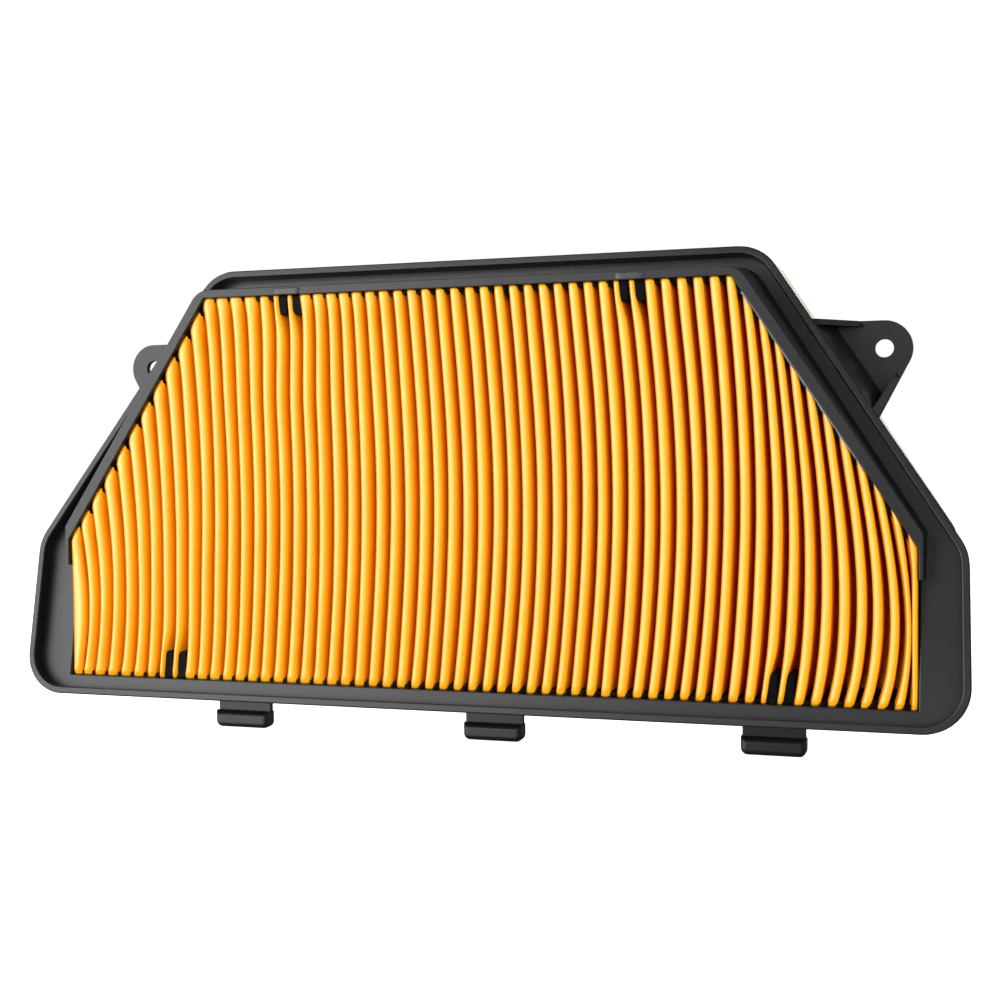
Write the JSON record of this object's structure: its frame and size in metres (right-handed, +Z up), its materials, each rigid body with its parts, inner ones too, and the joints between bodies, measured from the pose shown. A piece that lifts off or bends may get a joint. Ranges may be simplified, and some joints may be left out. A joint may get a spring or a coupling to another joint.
{
  "type": "motorcycle air filter",
  "caption": "Flat pleated panel air filter with a black moulded frame, a leaning raised-rim front flange, a hood lip, screw ears, lower hooks and a foam seal",
  "frame": {"origin": "middle of the footprint, level with the underside of the three hooks, with the filter standing upright on them", "axes": "+X across the filter's width, towards its right seen from the dirty side; +Y from the pleats' dirty side to the clean side that the seal faces; +Z up, from the hooks to the narrower top edge"},
  "size_m": [0.3388, 0.0532, 0.1752],
  "materials": {
    "frame_plastic": "black moulded polypropylene, semi-matt with a soft sheen",
    "filter_paper": "resin-treated pleated paper, yellow-orange, slightly satin",
    "adhesive": "black potting adhesive, smooth and glossy where it ran",
    "seal_foam": "pale closed-cell foam, matt"
  },
  "bodies": {
    "root": {"adhesive_bottom_centre": "adhesive", "adhesive_bottom_left": "adhesive", "adhesive_bottom_right": "adhesive", "adhesive_side_left": "adhesive", "adhesive_side_right": "adhesive", "adhesive_slant_left": "adhesive", "adhesive_slant_right": "adhesive", "adhesive_top_centre": "adhesive", "adhesive_top_left": "adhesive", "adhesive_top_right": "adhesive", "ear_left": "frame_plastic", "ear_right": "frame_plastic", "foam_seal": "seal_foam", "front_flange": "frame_plastic", "hood_lip": "frame_plastic", "hook_centre": "frame_plastic", "hook_left": "frame_plastic", "hook_right": "frame_plastic", "media_clip_bottom_left": "frame_plastic", "media_clip_bottom_right": "frame_plastic", "media_clip_top_left": "frame_plastic", "media_clip_top_right": "frame_plastic", "media_housing": "frame_plastic", "pleated_paper": "filter_paper", "rear_flange": "frame_plastic", "support_bar_left": "frame_plastic", "support_bar_right": "frame_plastic"}
  },
  "joints": []
}
